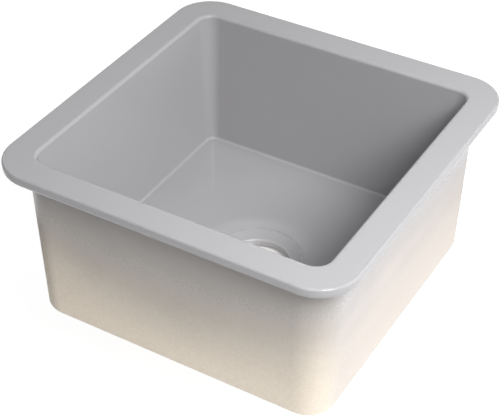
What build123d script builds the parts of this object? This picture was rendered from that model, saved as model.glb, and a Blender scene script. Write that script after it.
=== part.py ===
from build123d import *
import os
from math import atan2, radians, tan

# Kitchen sink: a one-piece fireclay bowl with a flat rim, and the basket strainer in its drain.
# Millimetres. Z = 0 is the worktop that the rim's underside rests on, X = Y = 0 is the middle of
# the bowl and of its drain, and the bowl hangs below.

# Bowl
bowl_width = 457.0  # over the rim, along X
bowl_length = 457.0  # over the rim, along Y
bowl_height = 224.0  # from the base to the rim's top
rim_thickness = 15.0
rim_overhang = 24.0  # of the rim past the outer wall
rim_corner_radius = 50.5
rim_top_round = 2.5
rim_lower_round = 7.5
rim_root_round = 4.0  # where the rim's underside meets the wall
wall_thickness = 13.8
wall_corner_radius = 40.5
opening_corner_radius = 19.5
wall_lean = 1.6  # degrees that the walls lean in towards the base
base_thickness = 28.5
base_round = 6.0
floor_round = 3.8
lip_round = 4.5
floor_fall = 5.5  # of the floor towards the drain
floor_fall_blend = 16.0  # of the fall's outer part, where it flattens out
floor_fall_edge = 0.1  # fall that is left in that part
floor_fall_margin = 5.0  # flat floor left between the fall and the floor's round

# Drain in the bowl
drain_radius = 45.0
throat_height = 10.0  # of the hole's straight wall above the base
seat_width = 12.5
seat_rise = 6.0  # of the seat over its width
seat_wall_height = 3.5  # of the upright wall beside the flange
seat_wall_flare = 0.4
recess_flare = 11.5  # of the slope from that wall up to the floor
recess_round = 72.0  # where that slope runs out into the floor
drain_edge_round = 2.5

# Clearances
seat_gap = 0.1  # between a piece and the seat it lies on
thread_gap = 0.1  # between a nut and the thread it runs on
hole_gap = 1.4  # between the strainer's body and the drain hole
flange_gap = 0.6  # between the flange's edge and the recess wall
slide_gap = 0.08  # between the stopper's stem and its bush
guide_gap = 0.4  # between the stem's tip and its guide
stop_gap = 0.3  # left between the stopper and the basket when it is fully up
lip_gap = 1.0  # between the basket's lip and the body's mouth
slip_gap = 1.2  # between the tailpiece and the coupling nut's lip

# Strainer body
flange_seal_thickness = 2.0
flange_thickness = 1.6
flange_round = 0.7
mouth_wall = 1.6
mouth_round = 3.0
ledge_width = 3.5  # inside the mouth, for the basket's lip
ledge_height = 4.0  # above the base
cup_wall = 2.0
cup_depth = 38.0  # of the cup's floor below the base
cup_floor_thickness = 2.5
cup_cone_height = 8.0
cup_floor_radius = 25.0
outlet_radius = 18.0
outlet_arms = 4
outlet_arm_width = 4.0
guide_hub_radius = 7.0
guide_hub_height = 6.0
spud_radius = 24.0
spud_bore = 19.5
spud_length = 18.0

# Under the bowl
body_gasket_radius = 55.0
body_gasket_thickness = 5.0
friction_washer_radius = 53.0
friction_washer_thickness = 1.2
locknut_radius = 50.0
locknut_height = 11.0
locknut_lugs = 6
locknut_lug_width = 12.0
locknut_lug_reach = 5.5

# Tailpiece and its coupling
tailpiece_radius = 19.05
tailpiece_wall = 0.9
tailpiece_length = 100.0
tailpiece_flange_reach = 4.2
tailpiece_flange_thickness = 1.4
tailpiece_washer_thickness = 2.5
coupling_wall = 4.5
coupling_grip = 13.0  # of the coupling nut's thread on the spud
coupling_lip_thickness = 3.0
coupling_ribs = 8
coupling_rib_width = 6.0
coupling_rib_reach = 3.0

# Basket
basket_wall = 0.9
basket_lip_thickness = 1.2
basket_shoulder_width = 4.0  # of the slope inside the flat lip
basket_shoulder_drop = 2.4
basket_body_gap = 0.6  # between the shoulder's top and the body's cup
basket_lean = 8.0  # degrees that the basket's side leans in
basket_corner_round = 6.0
basket_hole_radius = 2.1
side_hole_count = 18
side_hole_rows = 2
side_hole_pitch = 8.0  # from row to row
floor_hole_rings = ((13.5, 10), (21.5, 16))  # radius and count of each ring
bush_radius = 5.8
bush_lip_reach = 3.0
bush_lip_thickness = 1.2
bush_height = 6.0
bush_ring_width = 1.2
bush_ring_height = 1.4

# Stopper
stopper_travel = 7.0
stem_radius = 2.6
stem_tip_length = 10.0
stem_tip_radius = 2.4
stem_head_radius = 5.5
stem_head_thickness = 2.0
stopper_seal_radius = 22.5
stopper_seal_thickness = 5.0
seal_plate_radius = 17.0
seal_plate_thickness = 1.2
stem_clip_radius = 5.0
stem_clip_thickness = 0.8
knob_radius = 9.0
knob_waist_radius = 4.5
knob_height = 19.0
knob_head_height = 7.0
knob_hole_depth = 13.0

# Heights that several pieces share
base_z = rim_thickness - bowl_height
floor_z = base_z + base_thickness
cup_floor_z = base_z - cup_depth
spud_top_z = cup_floor_z - cup_floor_thickness
spud_end_z = spud_top_z - spud_length
ledge_z = base_z + ledge_height

# Radii and widths that several pieces share
wall_width = bowl_width - 2 * rim_overhang
wall_length = bowl_length - 2 * rim_overhang
flange_radius = drain_radius + seat_width - flange_gap
mouth_radius = drain_radius - hole_gap - mouth_wall
cup_radius = mouth_radius - ledge_width
thread_radius = cup_radius + cup_wall
basket_lip_radius = mouth_radius - lip_gap
basket_shoulder_radius = cup_radius - basket_body_gap
basket_top_radius = basket_shoulder_radius - basket_shoulder_width
tailpiece_flange_radius = tailpiece_radius + tailpiece_flange_reach
basket_lip_z = ledge_z + seat_gap
basket_side_z = basket_lip_z - basket_shoulder_drop

# The stopper's stack from the cup's floor up, with the basket's floor above it
seal_z = cup_floor_z + seat_gap
seal_plate_z = seal_z + stopper_seal_thickness
stem_clip_z = seal_plate_z + seal_plate_thickness
bush_z = stem_clip_z + stem_clip_thickness + stopper_travel + stop_gap
basket_floor_z = bush_z + bush_lip_thickness
bush_top_z = bush_z + bush_height
knob_z = bush_top_z + stop_gap

# The coupling stack from the spud's end down
tailpiece_flange_z = spud_end_z - tailpiece_washer_thickness - tailpiece_flange_thickness
coupling_z = tailpiece_flange_z - coupling_lip_thickness


def seat_z(radius):
    # Height of the bowl's sloping seat at a radius
    return base_z + throat_height + (radius - drain_radius) * seat_rise / seat_width


def turned(*corners):
    # Solid turned about Z from corners given as radius, height and the round on that corner
    points = [(corner[0], corner[1]) for corner in corners]
    rounds = [corner[2] if len(corner) > 2 else 0 for corner in corners]
    outline = FilletPolyline(*points, radius=rounds, close=True)
    return revolve(Plane.XZ * make_face(outline), Axis.Z)


def ring(inner, outer, bottom, top, edge=0):
    # Flat ring with its outer edges rounded
    return turned((inner, bottom), (outer, bottom, edge), (outer, top, edge), (inner, top))


def leaning_block(width, length, corner, top, depth):
    # Block with rounded corners that hangs from its top and leans in towards its bottom
    block = extrude(Pos(0, 0, top) * RectangleRounded(width, length, corner), amount=-depth)
    sides = block.faces().sort_by(Axis.Z)[1:-1]
    return draft(sides, Plane.XY.offset(top), -wall_lean)


def edges_at(solid, height, width, length):
    # Edges at a height that lie within a width and a length
    level = solid.edges().filter_by_position(Axis.Z, height - 0.01, height + 0.01)
    return level.filter_by(
        lambda edge: edge.bounding_box().max.X <= width / 2 + 0.01
        and edge.bounding_box().max.Y <= length / 2 + 0.01
        and edge.bounding_box().min.X >= -width / 2 - 0.01
        and edge.bounding_box().min.Y >= -length / 2 - 0.01
    )


def drain_cut(fall_radius):
    # The drain hole, its seat and recess, and the fall of the floor around them
    seat_radius = drain_radius + seat_width
    wall_radius = seat_radius + seat_wall_flare
    floor_radius = wall_radius + recess_flare
    blend_radius = fall_radius - floor_fall_blend
    slope = atan2(floor_fall - floor_fall_edge, blend_radius - floor_radius)
    fall_round = 0.8 * floor_fall_blend / tan(slope / 2)
    return turned(
        (0, base_z - drain_edge_round),
        (drain_radius + 2 * drain_edge_round, base_z - drain_edge_round),
        (drain_radius, base_z + drain_edge_round, drain_edge_round),
        (drain_radius, seat_z(drain_radius), drain_edge_round),
        (seat_radius, seat_z(seat_radius), 1.0),
        (wall_radius, seat_z(seat_radius) + seat_wall_height, 1.5),
        (floor_radius, floor_z - floor_fall, recess_round),
        (blend_radius, floor_z - floor_fall_edge, fall_round),
        (fall_radius, floor_z),
        (fall_radius, floor_z + floor_fall),
        (0, floor_z + floor_fall),
    )


def sink_bowl():
    rim = extrude(RectangleRounded(bowl_width, bowl_length, rim_corner_radius), rim_thickness)
    rim = fillet(rim.edges().group_by(Axis.Z)[-1], rim_top_round)
    rim = fillet(rim.edges().group_by(Axis.Z)[0], rim_lower_round)
    wall = leaning_block(wall_width, wall_length, wall_corner_radius, 0, -base_z)
    wall = fillet(wall.edges().group_by(Axis.Z)[0], base_round)
    shell = rim + wall
    shell = fillet(edges_at(shell, 0, wall_width, wall_length), rim_root_round)

    opening_width = wall_width - 2 * wall_thickness
    opening_length = wall_length - 2 * wall_thickness
    depth = rim_thickness - floor_z
    cavity = leaning_block(
        opening_width, opening_length, opening_corner_radius, rim_thickness, depth
    )
    cavity = fillet(cavity.edges().group_by(Axis.Z)[0], floor_round)
    bowl = shell - cavity
    bowl = fillet(edges_at(bowl, rim_thickness, opening_width, opening_length), lip_round)

    lean_in = depth * tan(radians(wall_lean))
    half_floor = min(opening_width, opening_length) / 2 - lean_in - floor_round
    return bowl - drain_cut(half_floor - floor_fall_margin)


def flange_seal():
    # A soft ring between the sloping seat and the flange
    inner = drain_radius + drain_edge_round
    outer = flange_radius - flange_thickness
    bottom = seat_gap
    top = bottom + flange_seal_thickness
    return turned(
        (inner, seat_z(inner) + bottom),
        (outer, seat_z(outer) + bottom),
        (outer, seat_z(outer) + top),
        (inner, seat_z(inner) + top),
    )


def strainer_body():
    # A pressed cup with a sloping flange, a ledge for the basket, a thread and an outlet spud
    under = 2 * seat_gap + flange_seal_thickness
    top = under + flange_thickness
    mouth_outside = mouth_radius + mouth_wall
    ledge_under = ledge_z - cup_wall
    cone_z = cup_floor_z + cup_cone_height
    body = turned(
        (0, cup_floor_z),
        (cup_floor_radius, cup_floor_z, flange_round),
        (cup_radius, cone_z, mouth_round),
        (cup_radius, ledge_z, flange_round),
        (mouth_radius, ledge_z, flange_round),
        (mouth_radius, seat_z(mouth_radius) + top, mouth_round),
        (flange_radius, seat_z(flange_radius) + top, flange_round),
        (flange_radius, seat_z(flange_radius) + under, flange_round),
        (mouth_outside, seat_z(mouth_outside) + under, flange_round),
        (mouth_outside, ledge_under, flange_round),
        (thread_radius, ledge_under, flange_round),
        (thread_radius, cone_z - cup_wall / 2, mouth_round),
        (spud_radius, spud_top_z),
        (spud_radius, spud_end_z),
        (spud_bore, spud_end_z),
        (spud_bore, spud_top_z),
        (guide_hub_radius, spud_top_z),
        (guide_hub_radius, cup_floor_z - guide_hub_height),
        (0, cup_floor_z - guide_hub_height),
    )
    body -= outlet_openings()
    guide = stem_tip_radius + guide_gap
    return body - Pos(0, 0, cup_floor_z) * Cylinder(guide, 2 * guide_hub_height + 2)


def outlet_openings():
    # Openings through the cup's floor, parted by the arms that carry the guide hub
    depth = 2 * cup_floor_thickness + 2
    openings = ring(
        guide_hub_radius, outlet_radius, cup_floor_z - depth / 2, cup_floor_z + depth / 2
    )
    arm = Pos(outlet_radius / 2, 0, cup_floor_z) * Box(
        outlet_radius + guide_hub_radius, outlet_arm_width, depth + 2
    )
    for turn in range(outlet_arms):
        openings -= Rot(0, 0, 360 / outlet_arms * turn) * arm
    return openings


def body_gasket():
    return ring(
        thread_radius + thread_gap, body_gasket_radius, base_z - body_gasket_thickness, base_z, 0.8
    )


def friction_washer():
    top = base_z - body_gasket_thickness
    return ring(
        thread_radius + thread_gap, friction_washer_radius, top - friction_washer_thickness, top
    )


def body_locknut():
    top = base_z - body_gasket_thickness - friction_washer_thickness
    inner = thread_radius + thread_gap
    nut = ring(inner, locknut_radius, top - locknut_height, top, 1.0)
    lug = Pos(locknut_radius, 0, top - locknut_height / 2) * Box(
        2 * locknut_lug_reach, locknut_lug_width, locknut_height - 2
    )
    for turn in range(locknut_lugs):
        nut += Rot(0, 0, 360 / locknut_lugs * turn) * lug
    return nut


def tailpiece_washer():
    top = spud_end_z
    bottom = top - tailpiece_washer_thickness
    return ring(spud_bore, tailpiece_flange_radius, bottom, top)


def tailpiece():
    top = tailpiece_flange_z + tailpiece_flange_thickness
    bore = tailpiece_radius - tailpiece_wall
    return turned(
        (bore, top),
        (tailpiece_flange_radius, top),
        (tailpiece_flange_radius, tailpiece_flange_z),
        (tailpiece_radius, tailpiece_flange_z),
        (tailpiece_radius, top - tailpiece_length),
        (bore, top - tailpiece_length),
    )


def coupling_nut():
    inner = spud_radius + thread_gap
    outer = inner + coupling_wall
    top = spud_end_z + coupling_grip
    lip = tailpiece_radius + slip_gap
    nut = turned(
        (lip, coupling_z),
        (outer - 2, coupling_z),
        (outer, coupling_z + 2),
        (outer, top, 1.0),
        (inner, top),
        (inner, tailpiece_flange_z),
        (lip, tailpiece_flange_z),
    )
    rib_height = top - coupling_z - 5
    rib = Pos(outer, 0, coupling_z + 3 + rib_height / 2) * Box(
        2 * coupling_rib_reach, coupling_rib_width, rib_height
    )
    for turn in range(coupling_ribs):
        nut += Rot(0, 0, 360 / coupling_ribs * turn) * rib
    return nut


def basket_side_radius(height):
    # Outside radius of the basket's leaning side at a height
    return basket_top_radius - (basket_side_z - height) * tan(radians(basket_lean))


def basket_cup():
    # A pressed perforated cup that hangs by its flat lip, with a sloping shoulder inside the lip
    inner_floor = basket_floor_z + basket_wall
    lip_top = basket_lip_z + basket_lip_thickness
    lip_round_radius = basket_lip_thickness * 0.45
    floor_radius = basket_side_radius(basket_floor_z)
    cup = turned(
        (0, basket_floor_z),
        (floor_radius, basket_floor_z, basket_corner_round),
        (basket_top_radius, basket_side_z),
        (basket_shoulder_radius, basket_lip_z),
        (basket_lip_radius, basket_lip_z, lip_round_radius),
        (basket_lip_radius, lip_top, lip_round_radius),
        (basket_shoulder_radius, lip_top),
        (basket_top_radius - basket_wall, basket_side_z + basket_lip_thickness),
        (
            basket_side_radius(inner_floor) - basket_wall,
            inner_floor,
            basket_corner_round - basket_wall,
        ),
        (0, inner_floor),
    )
    return cup - basket_holes() - Pos(0, 0, basket_floor_z) * Cylinder(bush_radius, 10)


def basket_holes():
    drill = Cylinder(basket_hole_radius, 6)
    holes = []
    for radius, count in floor_hole_rings:
        place = Pos(radius, 0, basket_floor_z + basket_wall / 2)
        holes += [Rot(0, 0, 360 / count * turn) * place * drill for turn in range(count)]
    for row in range(side_hole_rows):
        height = basket_side_z - side_hole_pitch * (row + 0.75)
        place = Pos(basket_side_radius(height) - basket_wall / 2, 0, height)
        tilt = Rot(0, 90 + basket_lean, 0)
        for turn in range(side_hole_count):
            angle = 360 / side_hole_count * (turn + row / 2)
            holes.append(Rot(0, 0, angle) * place * tilt * drill)
    return holes


def basket_bush():
    # A bush snapped into the basket's floor, with a groove inside for its ring
    inner = stem_radius + slide_gap
    neck = bush_radius - seat_gap
    lip = bush_radius + bush_lip_reach
    sheet_top = basket_floor_z + basket_wall + seat_gap
    groove = inner + bush_ring_width
    groove_z = (bush_z + bush_top_z - bush_ring_height) / 2 - seat_gap
    groove_top = groove_z + bush_ring_height + 2 * seat_gap
    return turned(
        (inner, bush_z),
        (lip, bush_z),
        (lip, basket_floor_z - seat_gap),
        (neck, basket_floor_z - seat_gap),
        (neck, sheet_top),
        (lip, sheet_top),
        (neck, bush_top_z),
        (inner, bush_top_z),
        (inner, groove_top),
        (groove, groove_top),
        (groove, groove_z),
        (inner, groove_z),
    )


def bush_ring():
    # The friction ring that holds the stopper where it is put
    inner = stem_radius + slide_gap
    bottom = (bush_z + bush_top_z - bush_ring_height) / 2
    return ring(inner, inner + bush_ring_width - seat_gap, bottom, bottom + bush_ring_height, 0.3)


def stopper_stem():
    head_top = seal_z + stem_head_thickness
    tip_end = seal_z - stem_tip_length
    return turned(
        (0, tip_end),
        (stem_tip_radius, tip_end, 1.0),
        (stem_tip_radius, seal_z),
        (stem_head_radius, seal_z),
        (stem_head_radius, head_top),
        (stem_radius, head_top),
        (stem_radius, knob_z + knob_hole_depth - seat_gap),
        (0, knob_z + knob_hole_depth - seat_gap),
    )


def stopper_seal():
    # A rubber disc whose underside holds the stem's head
    head_top = seal_z + stem_head_thickness
    return turned(
        (stem_head_radius + seat_gap, seal_z),
        (stopper_seal_radius, seal_z, 1.0),
        (stopper_seal_radius, seal_plate_z, 1.5),
        (stem_radius + seat_gap, seal_plate_z),
        (stem_radius + seat_gap, head_top + seat_gap),
        (stem_head_radius + seat_gap, head_top + seat_gap),
    )


def seal_plate():
    return ring(
        stem_radius + seat_gap, seal_plate_radius, seal_plate_z, stem_clip_z, 0.3
    )


def stem_clip():
    # A push-on clip, split at one side
    clip = ring(
        stem_radius + slide_gap, stem_clip_radius, stem_clip_z, stem_clip_z + stem_clip_thickness
    )
    slot = Pos(stem_clip_radius, 0, stem_clip_z) * Box(
        2 * stem_clip_radius, stem_radius, 4 * stem_clip_thickness
    )
    return clip - slot


def stopper_knob():
    # A finger knob with a waist, bored for the stem
    bore = stem_radius + slide_gap
    top = knob_z + knob_height
    head_z = top - knob_head_height
    return turned(
        (bore, knob_z),
        (knob_radius * 0.75, knob_z, 1.0),
        (knob_waist_radius, knob_z + (head_z - knob_z) / 2, 3.0),
        (knob_radius, head_z, 1.0),
        (knob_radius, top, 2.5),
        (0, top),
        (0, knob_z + knob_hole_depth),
        (bore, knob_z + knob_hole_depth),
    )


parts = {
    "sink_bowl": sink_bowl,
    "flange_seal": flange_seal,
    "strainer_body": strainer_body,
    "body_gasket": body_gasket,
    "friction_washer": friction_washer,
    "body_locknut": body_locknut,
    "tailpiece_washer": tailpiece_washer,
    "tailpiece": tailpiece,
    "coupling_nut": coupling_nut,
    "basket_cup": basket_cup,
    "basket_bush": basket_bush,
    "bush_ring": bush_ring,
    "stopper_stem": stopper_stem,
    "stopper_seal": stopper_seal,
    "seal_plate": seal_plate,
    "stem_clip": stem_clip,
    "stopper_knob": stopper_knob,
}

os.makedirs("parts", exist_ok=True)
for name, make in parts.items():
    export_step(make(), f"parts/{name}.step")
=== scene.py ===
import bpy
import bmesh
from math import atan2, cos, degrees, pi, radians, sin
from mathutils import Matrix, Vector


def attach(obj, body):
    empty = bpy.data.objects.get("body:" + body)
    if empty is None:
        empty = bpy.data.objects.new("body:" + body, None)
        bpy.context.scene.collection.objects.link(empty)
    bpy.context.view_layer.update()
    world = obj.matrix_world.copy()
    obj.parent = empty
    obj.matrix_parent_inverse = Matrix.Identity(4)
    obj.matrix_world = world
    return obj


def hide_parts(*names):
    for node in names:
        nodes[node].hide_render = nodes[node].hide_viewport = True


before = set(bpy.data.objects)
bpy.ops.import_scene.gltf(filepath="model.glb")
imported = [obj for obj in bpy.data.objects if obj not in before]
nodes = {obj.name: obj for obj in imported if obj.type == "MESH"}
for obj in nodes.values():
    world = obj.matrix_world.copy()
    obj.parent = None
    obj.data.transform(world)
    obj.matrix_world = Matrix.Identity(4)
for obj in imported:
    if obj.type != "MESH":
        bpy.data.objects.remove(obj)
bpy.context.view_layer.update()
bpy.ops.object.select_all(action="DESELECT")
print("frame loaded:", len(nodes), "nodes")


cameraView = {
    "azimuth": 30.71,  # degrees round from the front, towards the right
    "elevation": 38.21,
    "distance": 1.679,
    "target": (0.002, -0.0213, -0.0943),
    "lens": 98.96,
    "clipEnd": 50,
}


def placeCamera(view):
    turn, rise = radians(view["azimuth"]), radians(view["elevation"])
    back = Vector((sin(turn) * cos(rise), -cos(turn) * cos(rise), sin(rise)))
    data = bpy.data.cameras.new("photoCamera")
    data.lens = view["lens"]
    data.clip_end = view["clipEnd"]
    camera = bpy.data.objects.new("photoCamera", data)
    bpy.context.scene.collection.objects.link(camera)
    camera.location = Vector(view["target"]) + back * view["distance"]
    camera.rotation_euler = (-back).to_track_quat("-Z", "Y").to_euler()
    bpy.context.scene.camera = camera


placeCamera(cameraView)
print("camera placed")


def addNode(tree, kind, inputs=None, **settings):
    # a shader node with its settings, and its inputs either set or linked
    node = tree.nodes.new(kind)
    for key, value in settings.items():
        setattr(node, key, value)
    for key, value in (inputs or {}).items():
        if isinstance(value, bpy.types.NodeSocket):
            tree.links.new(value, node.inputs[key])
        else:
            node.inputs[key].default_value = value
    return node


def calc(tree, operation, first, second=0.0):
    node = addNode(tree, "ShaderNodeMath", {0: first, 1: second}, operation=operation)
    return node.outputs[0]


room = {
    "floorZ": -0.3735,  # just below the end of the tailpiece
    "floorSize": 9.0,
    "floorColor": (0.86, 0.86, 0.86, 1),
    "floorRoughness": 0.9,
    "floorWhite": 0.88,  # of the white that the camera sees, so that a shadow still shows
    "shadowColor": (0.42, 0.42, 0.42, 1),
    "white": (1, 1, 1, 1),
    "worldLight": 0.171,
    "lampAim": (0, 0, -0.1),
}

# where each softbox hangs, as degrees from +X towards +Y, degrees up, and metres from its aim
lamps = {
    "keyLamp": {
        "turn": -40,
        "rise": 43,
        "reach": 1.4,
        "size": 0.45,
        "power": 13.9,
        "mirrored": True,
    },
    "sideLamp": {
        "turn": 5,
        "rise": 45,
        "reach": 1.2,
        "size": 0.45,
        "power": 7.1,
        "mirrored": False,
    },
    "topLamp": {
        "turn": 0,
        "rise": 88,
        "reach": 2.0,
        "size": 1.3,
        "power": 4.0,
        "mirrored": False,
    },
    "backLamp": {
        "turn": 60,
        "rise": 20,
        "reach": 2.0,
        "size": 1.2,
        "power": 5.7,
        "mirrored": False,
    },
}


def seenRays(tree):
    # 1 where the camera, a reflection or a clear piece looks straight at the ground or the world
    path = tree.nodes.new("ShaderNodeLightPath").outputs
    direct = calc(tree, "MAXIMUM", path["Is Camera Ray"], path["Is Glossy Ray"])
    return calc(tree, "MAXIMUM", direct, path["Is Transmission Ray"])


def makeFloor(setup):
    bpy.ops.mesh.primitive_plane_add(size=setup["floorSize"], location=(0, 0, setup["floorZ"]))
    floor = bpy.context.active_object
    floor.name = "studioFloor"
    paper = bpy.data.materials.new("paleFloor")
    paper.use_nodes = True
    tree = paper.node_tree
    base = tree.nodes["Principled BSDF"]
    base.inputs["Base Color"].default_value = setup["floorColor"]
    base.inputs["Roughness"].default_value = setup["floorRoughness"]
    glow = addNode(tree, "ShaderNodeEmission", {"Strength": setup["floorWhite"]})
    shade = addNode(tree, "ShaderNodeBsdfDiffuse", {"Color": setup["shadowColor"]})
    white = addNode(tree, "ShaderNodeAddShader", {0: glow.outputs[0], 1: shade.outputs[0]})
    shaders = {0: seenRays(tree), 1: base.outputs["BSDF"], 2: white.outputs[0]}
    blend = addNode(tree, "ShaderNodeMixShader", shaders)
    tree.links.new(blend.outputs["Shader"], tree.nodes["Material Output"].inputs["Surface"])
    floor.data.materials.append(paper)
    bpy.ops.object.select_all(action="DESELECT")


def makeWorld(setup):
    world = bpy.data.worlds.new("studioWorld")
    world.use_nodes = True
    tree = world.node_tree
    back = tree.nodes["Background"]
    back.inputs["Color"].default_value = setup["white"]
    back.inputs["Strength"].default_value = setup["worldLight"]
    white = addNode(tree, "ShaderNodeBackground", {"Color": setup["white"], "Strength": 1.0})
    shaders = {0: seenRays(tree), 1: back.outputs[0], 2: white.outputs[0]}
    blend = addNode(tree, "ShaderNodeMixShader", shaders)
    tree.links.new(blend.outputs["Shader"], tree.nodes["World Output"].inputs["Surface"])
    bpy.context.scene.world = world


def makeLamp(name, lamp, aim):
    turn, rise = radians(lamp["turn"]), radians(lamp["rise"])
    way = Vector((cos(turn) * cos(rise), sin(turn) * cos(rise), sin(rise)))
    data = bpy.data.lights.new(name, "AREA")
    data.size = lamp["size"]
    data.energy = lamp["power"]
    holder = bpy.data.objects.new(name, data)
    bpy.context.scene.collection.objects.link(holder)
    holder.location = Vector(aim) + way * lamp["reach"]
    holder.rotation_euler = (-way).to_track_quat("-Z", "Y").to_euler()
    holder.visible_glossy = lamp["mirrored"]


bpy.context.scene.view_settings.view_transform = "Standard"
makeFloor(room)
makeWorld(room)
for name, lamp in lamps.items():
    makeLamp(name, lamp, room["lampAim"])
print("room lit")


def ramp(tree, value, low, high, bottom=0.0, top=1.0):
    # a smooth step from bottom at low to top at high
    inputs = {"Value": value, "From Min": low, "From Max": high, "To Min": bottom, "To Max": top}
    node = addNode(tree, "ShaderNodeMapRange", inputs, interpolation_type="SMOOTHSTEP")
    return node.outputs["Result"]


def mixColor(tree, factor, first, second):
    node = tree.nodes.new("ShaderNodeMix")
    node.data_type = "RGBA"
    sockets = (node.inputs[0], node.inputs[6], node.inputs[7])  # its factor and its two colours
    for socket, value in zip(sockets, (factor, first, second)):
        if isinstance(value, bpy.types.NodeSocket):
            tree.links.new(value, socket)
        else:
            socket.default_value = value if isinstance(value, float) else (*value, 1)
    return node.outputs[2]


def noise(tree, coords, scale, detail=2.0, roughness=0.5):
    inputs = {"Vector": coords, "Scale": scale, "Detail": detail, "Roughness": roughness}
    return addNode(tree, "ShaderNodeTexNoise", inputs).outputs["Fac"]


def splitPlace(tree, coords):
    return addNode(tree, "ShaderNodeSeparateXYZ", {0: coords}).outputs


def joinPlace(tree, across, along):
    return addNode(tree, "ShaderNodeCombineXYZ", {0: across, 1: along}).outputs[0]


def lengthOf(tree, line):
    return addNode(tree, "ShaderNodeVectorMath", {0: line}, operation="LENGTH").outputs["Value"]


def newGroup(name, inputs, outputs):
    # a shader node group whose inputs are given as name: start value, and outputs as names
    group = bpy.data.node_groups.new(name, "ShaderNodeTree")
    sides = group.interface
    sides.new_socket("Coords", in_out="INPUT", socket_type="NodeSocketVector")
    for label, value in inputs.items():
        socket = sides.new_socket(label, in_out="INPUT", socket_type="NodeSocketFloat")
        socket.default_value = value
    for label in outputs:
        sides.new_socket(label, in_out="OUTPUT", socket_type="NodeSocketFloat")
    start = group.nodes.new("NodeGroupInput").outputs
    end = group.nodes.new("NodeGroupOutput").inputs
    return group, start, end


grainSetup = {
    "grainScale": 900.0,
    "patchScale": 60.0,
    "contrast": (0.3, 0.7),  # of the noise, stretched to 0 and 1
}


def makeGrainGroup(setup):
    # fine grains in two sizes, as in clay, rubber, cast metal and moulded plastic
    inputs = {"Grain Scale": setup["grainScale"], "Patch Scale": setup["patchScale"]}
    group, start, end = newGroup("fineGrain", inputs, ("Grain", "Patches"))
    fine = noise(group, start["Coords"], start["Grain Scale"], detail=3.0, roughness=0.6)
    broad = noise(group, start["Coords"], start["Patch Scale"])
    group.links.new(ramp(group, fine, *setup["contrast"]), end["Grain"])
    group.links.new(ramp(group, broad, *setup["contrast"]), end["Patches"])
    return group


ringSetup = {
    "ringScale": 2600.0,
    "smudgeScale": 35.0,
    "breakScale": 12.0,  # how soon a ring changes along X
    "ringContrast": (0.25, 0.75),
    "smudgeContrast": (0.35, 0.7),
}


def makeTurnedGroup(setup):
    # fine rings round Z, as turning, pressing and polishing leave on metal
    inputs = {"Ring Scale": setup["ringScale"], "Smudge Scale": setup["smudgeScale"]}
    group, start, end = newGroup("turnedRings", inputs, ("Rings", "Smudges"))
    place = splitPlace(group, start["Coords"])
    reach = lengthOf(group, joinPlace(group, place[0], place[1]))
    across = calc(group, "MULTIPLY", calc(group, "ADD", reach, place[2]), start["Ring Scale"])
    along = calc(group, "MULTIPLY", place[0], setup["breakScale"])
    rings = noise(group, joinPlace(group, across, along), 1.0)
    smudges = noise(group, start["Coords"], start["Smudge Scale"], detail=3.0)
    group.links.new(ramp(group, rings, *setup["ringContrast"]), end["Rings"])
    group.links.new(ramp(group, smudges, *setup["smudgeContrast"]), end["Smudges"])
    return group


def useGroup(tree, group, coords, **values):
    node = tree.nodes.new("ShaderNodeGroup")
    node.node_tree = group
    tree.links.new(coords, node.inputs["Coords"])
    for label, value in values.items():
        node.inputs[label.replace("_", " ")].default_value = value
    return node.outputs


def newMaterial(name):
    material = bpy.data.materials.new(name)
    material.use_nodes = True
    tree = material.node_tree
    coords = tree.nodes.new("ShaderNodeTexCoord").outputs["Object"]
    return material, tree, tree.nodes["Principled BSDF"], coords


def dent(tree, base, height, depth):
    # bump of a depth in metres
    bump = addNode(tree, "ShaderNodeBump", {"Height": height, "Distance": depth})
    tree.links.new(bump.outputs["Normal"], base.inputs["Normal"])


fineGrain = makeGrainGroup(grainSetup)
turnedRings = makeTurnedGroup(ringSetup)


# places are in metres, and a pair is where a change begins and where it is complete
glazeLook = {
    "glaze": (0.397, 0.391, 0.404),
    "thinGlaze": (0.392, 0.367, 0.349),  # on the front wall, where the clay shows through
    # the clay's colour with painted light: paler on the front wall and darker on the side walls,
    # for how the light falls on them
    "frontClayPaintedLit": (0.90, 0.81, 0.685),
    "sideClayPaintedShade": (0.733, 0.68, 0.634),
    "grains": (0.70, 0.59, 0.475),
    "square": 0.164,  # half the width of a square that lies inside the walls
    "outside": (0.0295, 0.0325),  # distance from it, in the middle of the wall
    "rimEnds": (-0.001, -0.014),
    "underside": (-0.207, -0.2085),
    "front": (-0.15, -0.2),  # along Y, from the other walls to the front one
    "fade": (-0.0428, -0.2),  # heights between which the glaze thins out, on the front wall
    "cornerLift": 0.0306,  # how much higher it does so at the ends of that wall
    "corner": (0.029, 0.25),  # along that wall, from its middle
    "sideLift": 0.038,  # how much higher on the other walls
    "farDrop": 0.0166,  # and how much lower again at the back
    "far": (0.0, 0.2),
    "drift": 0.035,  # how much the height wanders
    "driftScale": 9.0,
    "grainScale": 420.0,
    "blotchScale": 140.0,
    "blotches": 0.14,  # share of the grains' colour
    "specks": 0.26,
    "speckFrom": 0.55,
    "lowPaintedLight": 0.08,  # painted light: how much paler the outside of the walls is painted at their foot, for the floor's bounce
    "low": (-0.15, -0.2),
    "sidePaintedLight": 0.1,  # and painted light, a paler band down the side walls
    "sideTop": (-0.03, -0.055),
    "sideBottom": (-0.085, -0.115),
    "glazeRoughness": 0.17,
    "clayRoughness": 0.75,
    "matt": 0.45,  # share of clay from which it is as rough as clay
    "sunk": 0.18,  # how far the grains shift that share
    "waveScale": 16.0,
    "waveDepth": 0.0005,
    "grainDepth": 0.00012,
}


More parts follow.
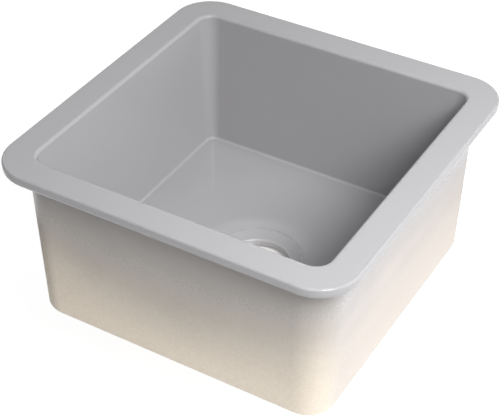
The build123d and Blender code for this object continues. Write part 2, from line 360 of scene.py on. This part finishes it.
def wallMasks(tree, place, look):
    # how far out a place lies along X and Y, and masks that are 1 on the front wall, on the
    # outside of all walls, and on all that can be bare
    span = [calc(tree, "ABSOLUTE", axis) for axis in place[:2]]
    side = [calc(tree, "MAXIMUM", calc(tree, "SUBTRACT", axis, look["square"])) for axis in span]
    reach = lengthOf(tree, joinPlace(tree, side[0], side[1]))
    belowRim = ramp(tree, place[2], *look["rimEnds"])
    outside = calc(tree, "MULTIPLY", ramp(tree, reach, *look["outside"]), belowRim)
    bare = calc(tree, "MAXIMUM", outside, ramp(tree, place[2], *look["underside"]))
    return span, ramp(tree, place[1], *look["front"]), outside, bare


def glazeFade(tree, coords, place, span, front, look):
    # 0 where the glaze is whole and 1 where it has thinned out
    wander = calc(tree, "SUBTRACT", noise(tree, coords, look["driftScale"], detail=3.0), 0.5)
    drift = calc(tree, "MULTIPLY", wander, look["drift"])
    along = calc(tree, "MINIMUM", span[0], span[1])
    ends = ramp(tree, along, *look["corner"], 0.0, look["cornerLift"])
    corners = calc(tree, "MULTIPLY", front, ends)
    sides = ramp(tree, place[1], *look["front"], look["sideLift"], 0.0)
    far = ramp(tree, place[1], *look["far"], 0.0, look["farDrop"])
    raised = calc(tree, "ADD", corners, sides)
    lift = calc(tree, "SUBTRACT", raised, calc(tree, "ADD", far, drift))
    return ramp(tree, calc(tree, "SUBTRACT", place[2], lift), *look["fade"])


def paintedLightShare(tree, place, outside, look):
    # 1, and more where painted light makes the outside of the walls paler: at their foot and in
    # a band down the side walls
    low = ramp(tree, place[2], *look["low"], 0.0, look["lowPaintedLight"])
    bandTop = ramp(tree, place[2], *look["sideTop"])
    band = calc(tree, "SUBTRACT", bandTop, ramp(tree, place[2], *look["sideBottom"]))
    sides = ramp(tree, place[1], *look["front"], look["sidePaintedLight"], 0.0)
    beside = calc(tree, "MULTIPLY", band, sides)
    paintedLight = calc(tree, "MULTIPLY", calc(tree, "ADD", low, beside), outside)
    return calc(tree, "ADD", paintedLight, 1.0)


def makeGlaze(look):
    # satin grey glaze that thins out to bare clay down the outside of the walls, with painted
    # light on the outside of the walls, set by wall and by height
    material, tree, base, coords = newMaterial("satinGlaze")
    place = splitPlace(tree, coords)
    span, front, outside, bare = wallMasks(tree, place, look)
    clay = calc(tree, "MULTIPLY", glazeFade(tree, coords, place, span, front, look), bare)
    scales = {"Grain_Scale": look["grainScale"], "Patch_Scale": look["blotchScale"]}
    grain = useGroup(tree, fineGrain, coords, **scales)

    blotches = calc(tree, "MULTIPLY", grain["Patches"], look["blotches"])
    peaks = ramp(tree, grain["Grain"], look["speckFrom"], 1.0)
    specks = calc(tree, "ADD", calc(tree, "MULTIPLY", peaks, look["specks"]), blotches)
    # painted light: the clay is paler on the front wall and darker on the side walls
    clayPaintedByWall = mixColor(tree, front, look["sideClayPaintedShade"], look["frontClayPaintedLit"])
    bareClay = mixColor(tree, specks, clayPaintedByWall, look["grains"])
    thinAndPaintedLit = calc(tree, "MULTIPLY", front, outside)
    glaze = mixColor(tree, thinAndPaintedLit, look["glaze"], look["thinGlaze"])
    # painted light: the outside of the walls is made paler at the foot and in a band down the
    # side walls
    paintedLight = paintedLightShare(tree, place, outside, look)
    inputs = {0: mixColor(tree, clay, glaze, bareClay), "Scale": paintedLight}
    color = addNode(tree, "ShaderNodeVectorMath", inputs, operation="SCALE").outputs["Vector"]
    tree.links.new(color, base.inputs["Base Color"])

    # the sheen is lost in specks, as the glaze sinks in between the grains
    hollow = calc(tree, "SUBTRACT", grain["Grain"], 0.5)
    sunk = calc(tree, "MULTIPLY", hollow, calc(tree, "MULTIPLY", bare, look["sunk"]))
    roughness = (look["glazeRoughness"], look["clayRoughness"])
    rough = ramp(tree, calc(tree, "ADD", clay, sunk), 0.0, look["matt"], *roughness)
    tree.links.new(rough, base.inputs["Roughness"])

    # both heights are in metres
    swell = noise(tree, coords, look["waveScale"], detail=1.0)
    wave = calc(tree, "MULTIPLY", swell, look["waveDepth"])
    rise = calc(tree, "MULTIPLY", grain["Grain"], clay)
    grit = calc(tree, "MULTIPLY", rise, look["grainDepth"])
    dent(tree, base, calc(tree, "ADD", wave, grit), 1.0)
    return material


enamelLook = {
    "color": (0.405, 0.399, 0.412),
    "mouth": (0.58, 0.57, 0.575),  # painted light: paler where the coat lines the wall of the opening, which lies in shade
    "mouthTop": -0.1952,
    "mouthFade": 0.0016,
    "steel": (0.66, 0.655, 0.64),
    "coatEnds": -0.2062,  # height below which the body is left bare
    "coatEdge": 0.0003,
    "coatRoughness": 0.2,
    "steelRoughness": (0.3, 0.42),
    "ringScale": 2200.0,
    "ringDepth": 0.00002,
}


def makeEnamel(look):
    # grey enamel to match the glaze where the flange shows, with painted light on the shaded
    # wall of its opening, and bare steel below
    material, tree, base, coords = newMaterial("enamelOnSteel")
    height = splitPlace(tree, coords)[2]
    end, edge = look["coatEnds"], look["coatEdge"]
    coat = ramp(tree, height, end - edge, end + edge)
    bare = calc(tree, "SUBTRACT", 1.0, coat)
    turned = useGroup(tree, turnedRings, coords, Ring_Scale=look["ringScale"])
    # painted light: the coat is made paler down the shaded wall of the opening
    thinAndPaintedLit = ramp(tree, height, look["mouthTop"], look["mouthTop"] - look["mouthFade"])
    enamel = mixColor(tree, thinAndPaintedLit, look["color"], look["mouth"])
    tree.links.new(mixColor(tree, coat, look["steel"], enamel), base.inputs["Base Color"])
    tree.links.new(bare, base.inputs["Metallic"])
    bareRough = ramp(tree, turned["Smudges"], 0.0, 1.0, *look["steelRoughness"])
    inputs = {"Value": coat, "To Min": bareRough, "To Max": look["coatRoughness"]}
    rough = addNode(tree, "ShaderNodeMapRange", inputs)
    tree.links.new(rough.outputs["Result"], base.inputs["Roughness"])
    dent(tree, base, calc(tree, "MULTIPLY", turned["Rings"], bare), look["ringDepth"])
    return material


metalLooks = {
    "brushedSteel": {
        "color": (0.74, 0.735, 0.72),
        "worn": (0.66, 0.655, 0.64),
        "rough": (0.24, 0.36),
        "rings": 2600.0,
        "depth": 0.000015,
    },
    "polishedChrome": {
        "color": (0.80, 0.80, 0.81),
        "worn": (0.76, 0.76, 0.77),
        "rough": (0.06, 0.14),
        "rings": 900.0,
        "depth": 0.000002,
    },
    "knobChrome": {
        "color": (0.81, 0.81, 0.82),
        "worn": (0.75, 0.75, 0.76),
        "rough": (0.08, 0.2),
        "rings": 1500.0,
        "depth": 0.000003,
    },
}


def makeMetal(name, look):
    material, tree, base, coords = newMaterial(name)
    turned = useGroup(tree, turnedRings, coords, Ring_Scale=look["rings"])
    color = mixColor(tree, turned["Smudges"], look["color"], look["worn"])
    tree.links.new(color, base.inputs["Base Color"])
    rough = ramp(tree, turned["Smudges"], 0.0, 1.0, *look["rough"])
    tree.links.new(rough, base.inputs["Roughness"])
    base.inputs["Metallic"].default_value = 1.0
    dent(tree, base, turned["Rings"], look["depth"])
    return material


grainyLooks = {
    "castBrass": {
        "color": (0.72, 0.56, 0.30),
        "patch": (0.60, 0.44, 0.22),
        "rough": (0.34, 0.52),
        "metal": 1.0,
        "grain": 1300.0,
        "patches": 90.0,
        "depth": 0.00006,
    },
    "blackRubber": {
        "color": (0.022, 0.022, 0.023),
        "patch": (0.040, 0.040, 0.041),
        "rough": (0.55, 0.75),
        "metal": 0.0,
        "grain": 2200.0,
        "patches": 120.0,
        "depth": 0.00003,
    },
    "redFibre": {
        "color": (0.30, 0.13, 0.085),
        "patch": (0.37, 0.18, 0.12),
        "rough": (0.75, 0.9),
        "metal": 0.0,
        "grain": 1800.0,
        "patches": 300.0,
        "depth": 0.00005,
    },
    "whitePlastic": {
        "color": (0.80, 0.80, 0.775),
        "patch": (0.76, 0.76, 0.73),
        "rough": (0.38, 0.5),
        "metal": 0.0,
        "grain": 2600.0,
        "patches": 70.0,
        "depth": 0.00001,
    },
    "greyPutty": {
        "color": (0.400, 0.394, 0.407),
        "patch": (0.388, 0.382, 0.395),
        "rough": (0.22, 0.3),
        "metal": 0.0,
        "grain": 900.0,
        "patches": 140.0,
        "depth": 0.00001,
    },
}


def makeGrainy(name, look):
    material, tree, base, coords = newMaterial(name)
    scales = {"Grain_Scale": look["grain"], "Patch_Scale": look["patches"]}
    grain = useGroup(tree, fineGrain, coords, **scales)
    color = mixColor(tree, grain["Patches"], look["color"], look["patch"])
    tree.links.new(color, base.inputs["Base Color"])
    rough = ramp(tree, grain["Patches"], 0.0, 1.0, *look["rough"])
    tree.links.new(rough, base.inputs["Roughness"])
    base.inputs["Metallic"].default_value = look["metal"]
    dent(tree, base, grain["Grain"], look["depth"])
    return material


finish = {"satinGlaze": makeGlaze(glazeLook), "enamelOnSteel": makeEnamel(enamelLook)}
for name, look in metalLooks.items():
    finish[name] = makeMetal(name, look)
for name, look in grainyLooks.items():
    finish[name] = makeGrainy(name, look)
print("materials made:", len(finish))

nodeFinish = {
    "sink_bowl": "satinGlaze",
    "flange_seal": "greyPutty",
    "strainer_body": "enamelOnSteel",
    "body_gasket": "blackRubber",
    "friction_washer": "redFibre",
    "body_locknut": "castBrass",
    "tailpiece_washer": "whitePlastic",
    "tailpiece": "polishedChrome",
    "coupling_nut": "polishedChrome",
    "basket_cup": "brushedSteel",
    "basket_bush": "whitePlastic",
    "bush_ring": "blackRubber",
    "stopper_stem": "brushedSteel",
    "stopper_seal": "blackRubber",
    "seal_plate": "brushedSteel",
    "stem_clip": "brushedSteel",
    "stopper_knob": "knobChrome",
}


def dress(piece, finishName):
    piece.data.materials.clear()
    piece.data.materials.append(finish[finishName])


for name, finishName in nodeFinish.items():
    dress(nodes[name], finishName)
print("nodes dressed")


# what the new pieces share: metres, and degrees between faces
making = {
    "mergeGap": 0.00001,
    "bevelSegments": 3,
    "bevelAngle": 35,
    "smoothAngle": 32,
    "pickGap": 0.001,  # how far off its place a face may be when it is picked
}


def openRing(name, radius, height, corners, turn=0.0):
    # a circle of edges in edit mode, to grow a turned shape from
    bpy.ops.object.select_all(action="DESELECT")
    bpy.ops.mesh.primitive_circle_add(
        vertices=corners, radius=radius, location=(0, 0, height), rotation=(0, 0, radians(turn))
    )
    piece = bpy.context.active_object
    piece.name = name
    bpy.ops.object.mode_set(mode="EDIT")
    bpy.ops.mesh.select_all(action="SELECT")
    return piece


def growRing(rows):
    # each row is a radius and a height, and the last row meets the first
    for (oldRadius, oldHeight), (radius, height) in zip(rows, rows[1:] + rows[:1]):
        rise = {"value": (0, 0, height - oldHeight)}
        bpy.ops.mesh.extrude_edges_move(TRANSFORM_OT_translate=rise)
        grow = radius / oldRadius
        bpy.ops.transform.resize(value=(grow, grow, 1), center_override=(0, 0, height))
    bpy.ops.mesh.select_all(action="SELECT")
    bpy.ops.mesh.remove_doubles(threshold=making["mergeGap"])
    bpy.ops.mesh.normals_make_consistent(inside=False)
    bpy.ops.mesh.select_all(action="DESELECT")


def nearTurn(middle, count, spread):
    # true within spread degrees of one of count places round Z
    step = 360 / count
    turn = degrees(atan2(middle.y, middle.x)) % step
    return min(turn, step - turn) < spread


def drawOut(piece, radius, height, count, spread, reach):
    # picks the outer wall's faces at a height, near count places round Z, and draws them out
    mesh = bmesh.from_edit_mesh(piece.data)
    for face in mesh.faces:
        middle = piece.matrix_world @ face.calc_center_median()
        outer = Vector((middle.x, middle.y)).length > radius - making["pickGap"]
        level = abs(middle.z - height) < making["pickGap"]
        face.select_set(outer and level and nearTurn(middle, count, spread))
    bmesh.update_edit_mesh(piece.data)
    bpy.ops.mesh.extrude_region_shrink_fatten(TRANSFORM_OT_shrink_fatten={"value": reach})


def finishPiece(piece, bevel, body, replaced, finishName):
    bpy.ops.object.mode_set(mode="OBJECT")
    bpy.ops.object.transform_apply(location=True, rotation=True, scale=True)
    if bevel:
        soften = piece.modifiers.new("soften", "BEVEL")
        soften.width = bevel
        soften.segments = making["bevelSegments"]
        soften.limit_method = "ANGLE"
        soften.angle_limit = radians(making["bevelAngle"])
        bpy.ops.object.modifier_apply(modifier="soften")
    bpy.ops.object.shade_smooth_by_angle(angle=radians(making["smoothAngle"]))
    bpy.ops.object.select_all(action="DESELECT")
    dress(piece, finishName)
    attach(piece, body)
    if replaced:
        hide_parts(replaced)


locknut = {
    "bore": 0.0406,
    "radius": 0.05,
    "top": -0.2152,
    "bottom": -0.2262,
    "rim": 0.0012,  # left above and below the lugs
    "lugs": 6,
    "lugSpread": 6.5,  # degrees to each side of a lug's middle
    "lugReach": 0.0054,
    "corners": 72,
    "firstCorner": 2.5,  # degrees from +X
    "bevel": 0.0009,
}


def makeLocknut(size):
    # a cast ring whose lugs are drawn out of its side
    bore, radius, top, bottom = size["bore"], size["radius"], size["top"], size["bottom"]
    rows = [
        (bore, top),
        (radius, top),
        (radius, top - size["rim"]),
        (radius, bottom + size["rim"]),
        (radius, bottom),
        (bore, bottom),
    ]
    piece = openRing("locknutCast", bore, top, size["corners"], size["firstCorner"])
    growRing(rows)
    middle = (top + bottom) / 2
    drawOut(piece, radius, middle, size["lugs"], size["lugSpread"], size["lugReach"])
    finishPiece(piece, size["bevel"], "sink", "body_locknut", "castBrass")


makeLocknut(locknut)
print("locknut made")


couplingNut = {
    "bore": 0.0241,
    "radius": 0.0286,
    "lipBore": 0.02025,
    "top": -0.2545,
    "lipTop": -0.2714,
    "bottom": -0.2744,
    "chamfer": 0.002,
    "ribs": 8,
    "ribSpread": 6,  # degrees to each side of a rib's middle
    "ribReach": 0.003,
    "ribTop": -0.2565,
    "corners": 96,
    "firstCorner": -1.875,  # degrees from +X
    "bevel": 0.0006,
}


def makeCouplingNut(size):
    # a turned cup with a lip for the tailpiece, and grip ribs drawn out of its side
    bore, radius, chamfer = size["bore"], size["radius"], size["chamfer"]
    top, lipTop, bottom = size["top"], size["lipTop"], size["bottom"]
    rows = [
        (bore, top),
        (radius, top),
        (radius, size["ribTop"]),
        (radius, lipTop),
        (radius, bottom + chamfer),
        (radius - chamfer, bottom),
        (size["lipBore"], bottom),
        (size["lipBore"], lipTop),
        (bore, lipTop),
    ]
    piece = openRing("couplingCast", bore, top, size["corners"], size["firstCorner"])
    growRing(rows)
    middle = (size["ribTop"] + lipTop) / 2
    drawOut(piece, radius, middle, size["ribs"], size["ribSpread"], size["ribReach"])
    finishPiece(piece, size["bevel"], "sink", "coupling_nut", "polishedChrome")


makeCouplingNut(couplingNut)
print("coupling nut made")


sealBead = {
    # radius and height round the putty that is wiped flush between the flange and the bowl
    "rows": [
        (0.0556, -0.1903),
        (0.0561, -0.18985),
        (0.0567, -0.18974),
        (0.0575, -0.18966),
        (0.0580, -0.18962),
        (0.0584, -0.18975),
        (0.0584, -0.1904),
        (0.0576, -0.1912),
        (0.0566, -0.1912),
    ],
    "corners": 192,
}


def makeSealBead(size):
    radius, height = size["rows"][0]
    piece = openRing("sealBead", radius, height, size["corners"])
    growRing(size["rows"])
    finishPiece(piece, 0, "sink", "", "greyPutty")


makeSealBead(sealBead)
print("seal bead made")


threads = {
    "bodyThread": {
        "radius": 0.0405,
        "bottom": -0.2388,
        "turns": 6,
        "pitch": 0.002,
        "reach": 0.00055,
    },
    "spudThread": {
        "radius": 0.0240,
        "bottom": -0.2538,
        "turns": 2,
        "pitch": 0.0017,
        "reach": 0.00045,
    },
}

ridge = {
    "corners": 6,
    "halfWidth": 0.47,  # of the pitch
    "steps": 72,  # in each turn
    "finish": "enamelOnSteel",
}


def makeThread(name, size):
    # one ridge, wound up round the body by a screw
    bpy.ops.object.select_all(action="DESELECT")
    half = size["pitch"] * ridge["halfWidth"]
    start = (size["radius"], 0, size["bottom"])
    bpy.ops.mesh.primitive_circle_add(
        vertices=ridge["corners"], radius=half, location=start, rotation=(pi / 2, 0, 0)
    )
    piece = bpy.context.active_object
    piece.name = name
    bpy.ops.object.mode_set(mode="EDIT")
    bpy.ops.mesh.select_all(action="SELECT")
    bpy.ops.transform.resize(value=(size["reach"] / half, 1, 1), center_override=start)
    bpy.ops.object.mode_set(mode="OBJECT")
    bpy.ops.object.transform_apply(location=True, rotation=True, scale=True)
    wind = piece.modifiers.new("wind", "SCREW")
    wind.axis = "Z"
    wind.angle = 2 * pi
    wind.screw_offset = size["pitch"]
    wind.iterations = size["turns"]
    wind.steps = ridge["steps"]
    wind.render_steps = ridge["steps"]
    bpy.ops.object.modifier_apply(modifier="wind")

    # the ridge's two open ends are closed
    bpy.ops.object.mode_set(mode="EDIT")
    bpy.ops.mesh.select_all(action="DESELECT")
    bpy.ops.mesh.select_mode(type="EDGE")
    others = {"use_wire": False, "use_multi_face": False, "use_non_contiguous": False}
    bpy.ops.mesh.select_non_manifold(extend=False, use_verts=False, **others)
    bpy.ops.mesh.edge_face_add()
    bpy.ops.mesh.select_mode(type="VERT")
    bpy.ops.mesh.select_all(action="SELECT")
    bpy.ops.mesh.normals_make_consistent(inside=False)
    finishPiece(piece, 0, "sink", "", ridge["finish"])


for name, size in threads.items():
    makeThread(name, size)
print("threads wound")
